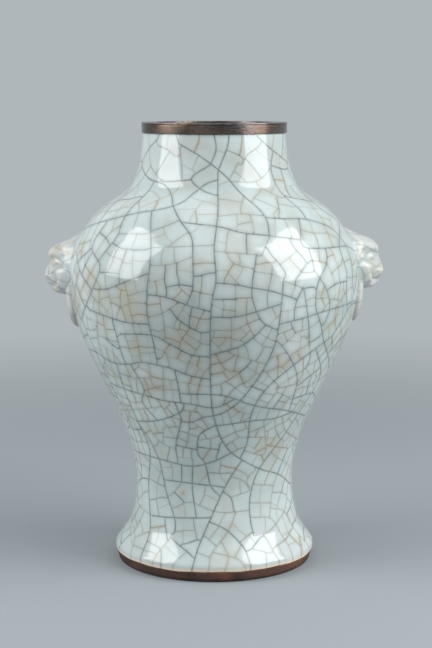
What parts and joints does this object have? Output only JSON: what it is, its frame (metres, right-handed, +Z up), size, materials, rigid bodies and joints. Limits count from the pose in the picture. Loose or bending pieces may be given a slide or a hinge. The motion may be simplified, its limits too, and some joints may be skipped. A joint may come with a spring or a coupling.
{
  "type": "baluster vase",
  "caption": "Crackle-glazed ceramic baluster vase with flared foot, lion-mask and mock-ring lugs and a metal-bound rim, for flowers or display.",
  "frame": {"origin": "centre of the plane that the foot stands on", "axes": "+Z up along the vase's axis, X through the two masks, the side seen in the picture faces -Y"},
  "size_m": [0.191, 0.1646, 0.25],
  "materials": {
    "crackle_glaze": "glossy pale blue-grey-green glaze with a dark and golden crackle",
    "mask_glaze": "the same glaze, thinner and paler on the high points",
    "fired_slip": "matt fired slip",
    "rim_cement": "dull dark bedding cement",
    "rim_metal": "dark brown patinated copper, softly polished"
  },
  "bodies": {
    "root": {"foot_section": "crackle_glaze", "lower_body": "crackle_glaze", "upper_body": "crackle_glaze", "neck": "crackle_glaze", "lion_mask_left": "mask_glaze", "lion_mask_right": "mask_glaze", "mock_ring_left": "mask_glaze", "mock_ring_right": "mask_glaze", "foot_slip_fillet": "fired_slip", "belly_slip_fillet": "fired_slip", "neck_slip_fillet": "fired_slip", "rim_cement": "rim_cement", "rim_band": "rim_metal"}
  },
  "joints": []
}
